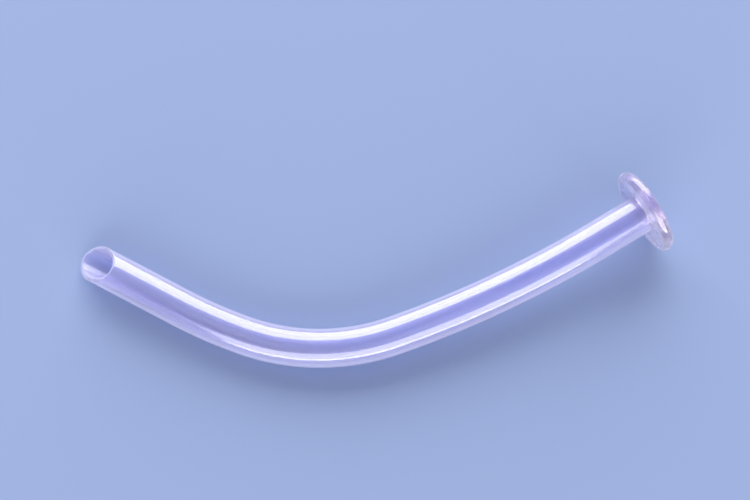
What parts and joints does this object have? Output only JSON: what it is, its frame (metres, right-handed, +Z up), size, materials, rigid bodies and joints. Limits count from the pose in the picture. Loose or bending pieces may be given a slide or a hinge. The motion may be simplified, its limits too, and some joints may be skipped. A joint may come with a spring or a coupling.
{
  "type": "nasopharyngeal airway",
  "caption": "Clear soft airway tube with a gentle bend, a bevelled and rounded tip at one end and a round flange cemented on the other; it keeps a nasal breathing passage open.",
  "frame": {"origin": "middle of the bounding box's base, on the surface that the airway lies on", "axes": "+X runs from the tip towards the flange, +Y points to the inside of the curve, +Z up"},
  "size_m": [0.143, 0.0402, 0.0213],
  "materials": {
    "clear_tube": "gloss",
    "clear_flange": "gloss"
  },
  "bodies": {
    "root": {"tube": "clear_tube", "flange": "clear_flange"}
  },
  "joints": []
}
